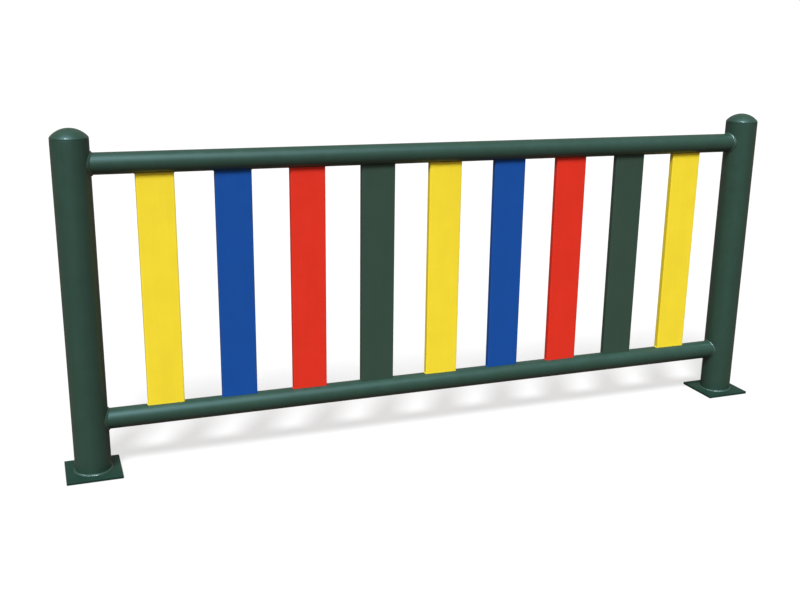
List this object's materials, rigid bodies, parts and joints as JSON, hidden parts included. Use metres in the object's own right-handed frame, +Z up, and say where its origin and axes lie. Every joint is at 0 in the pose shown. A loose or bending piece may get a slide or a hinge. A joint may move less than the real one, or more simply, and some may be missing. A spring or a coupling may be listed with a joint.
{
  "type": "pedestrian guard railing panel",
  "caption": "Low barrier panel: round posts with domed caps on square base plates, round rails welded between them, and upright flat slats in bright colours.",
  "frame": {"origin": "on the ground, midway between the posts", "axes": "+X along the rails from the left post to the right post, +Y from front to back, +Z up"},
  "size_m": [2.305, 0.155, 0.98],
  "materials": {
    "frame_green": "dark green gloss enamel over steel tube, shinier on the weld beads and duller on the base plates",
    "slat_yellow": "yellow satin enamel",
    "slat_blue": "blue satin enamel",
    "slat_red": "red satin enamel",
    "slat_green": "dark green satin enamel"
  },
  "bodies": {
    "root": {"left_base_plate": "frame_green", "right_base_plate": "frame_green", "left_foot_weld": "frame_green", "right_foot_weld": "frame_green", "left_post": "frame_green", "right_post": "frame_green", "left_post_cap": "frame_green", "right_post_cap": "frame_green", "bottom_rail": "frame_green", "top_rail": "frame_green", "bottom_rail_left_weld": "frame_green", "bottom_rail_right_weld": "frame_green", "top_rail_left_weld": "frame_green", "top_rail_right_weld": "frame_green", "slat_1_yellow": "slat_yellow", "slat_2_blue": "slat_blue", "slat_3_red": "slat_red", "slat_4_green": "slat_green", "slat_5_yellow": "slat_yellow", "slat_6_blue": "slat_blue", "slat_7_red": "slat_red", "slat_8_green": "slat_green", "slat_9_yellow": "slat_yellow"}
  },
  "joints": []
}
